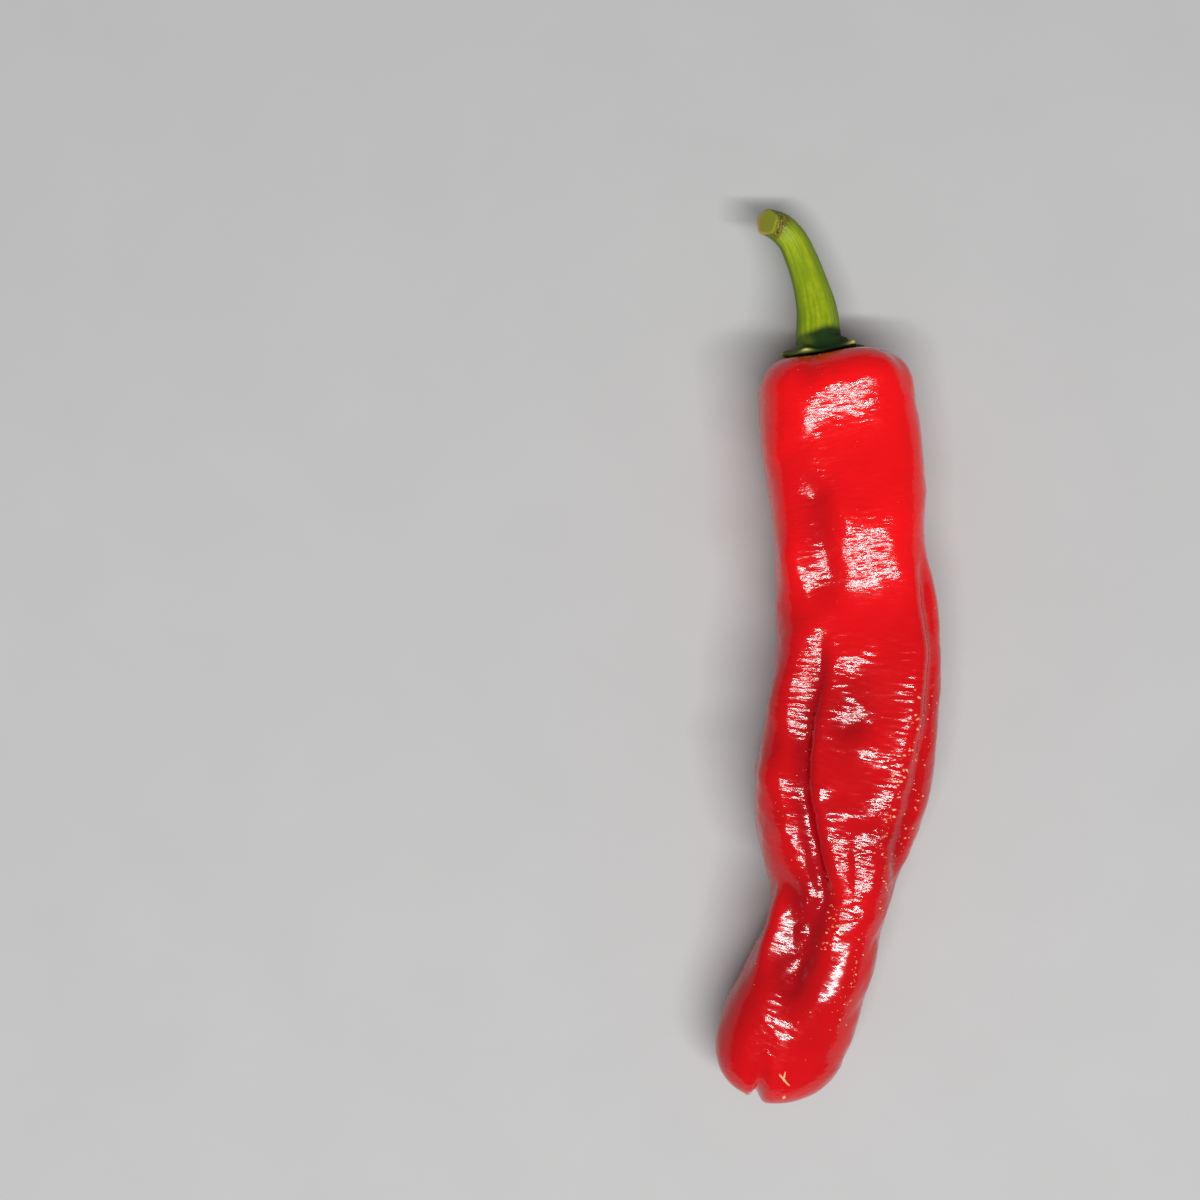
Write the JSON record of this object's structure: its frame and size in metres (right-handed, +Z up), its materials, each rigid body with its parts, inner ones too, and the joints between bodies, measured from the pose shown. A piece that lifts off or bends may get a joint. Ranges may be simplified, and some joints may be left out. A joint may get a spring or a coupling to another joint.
{
  "type": "shishito pepper",
  "caption": "Ripe red shishito pepper lying on its side: a long furrowed pod with a narrow neck and a two-lobed tip, and a curved green stalk with its calyx.",
  "frame": {"origin": "the middle of the whole pepper's box in X and Y, on the surface that the pepper lies on", "axes": "+Z up from the surface, +Y along the pepper towards the stalk, +X across it, so that the tip of the stalk and the tip of the pod both bend towards -X"},
  "size_m": [0.0316, 0.1294, 0.0213],
  "materials": {
    "skin": "waxy, glossy ripe red skin",
    "stalk": "satin green stem with fine lengthwise fibres"
  },
  "bodies": {
    "root": {"pod": "skin", "stalk": "stalk"}
  },
  "joints": []
}
